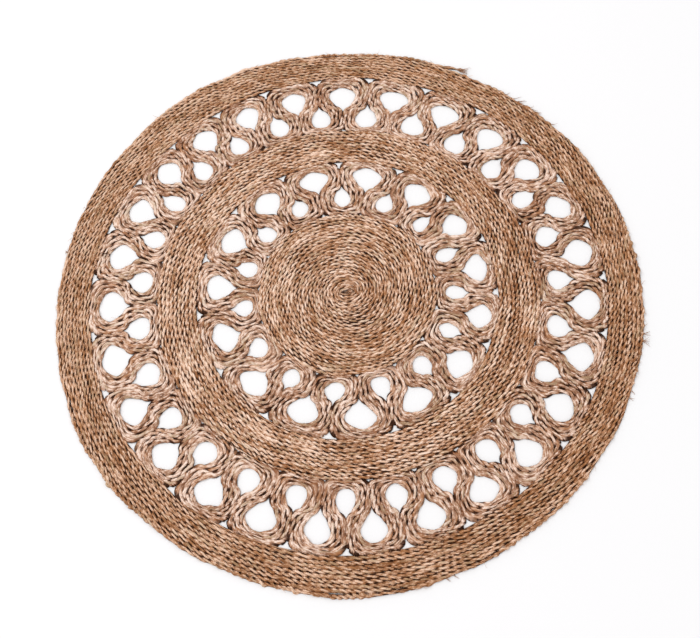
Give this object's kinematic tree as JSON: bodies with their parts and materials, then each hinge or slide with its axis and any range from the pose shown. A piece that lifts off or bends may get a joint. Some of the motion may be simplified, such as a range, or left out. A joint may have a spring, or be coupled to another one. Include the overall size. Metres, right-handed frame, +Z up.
{
  "type": "round seagrass floor mat",
  "caption": "Flat round floor mat of coiled twisted seagrass rope, with two openwork rings of looped ribbon between plain coiled bands.",
  "frame": {"origin": "on the floor under the middle of the mat, where the coil starts", "axes": "+Z up through the mat, with +Y pointing away from the viewer"},
  "size_m": [1.1973, 1.2036, 0.007],
  "materials": {
    "coiled_rope": "matte twisted seagrass rope, tan to brown",
    "looped_rope": "matte twisted seagrass cords, tan to brown"
  },
  "bodies": {
    "root": {"centre_coil": "coiled_rope", "inner_loop_ribbon": "looped_rope", "middle_band": "coiled_rope", "outer_loop_ribbon": "looped_rope", "outer_band": "coiled_rope"}
  },
  "joints": []
}
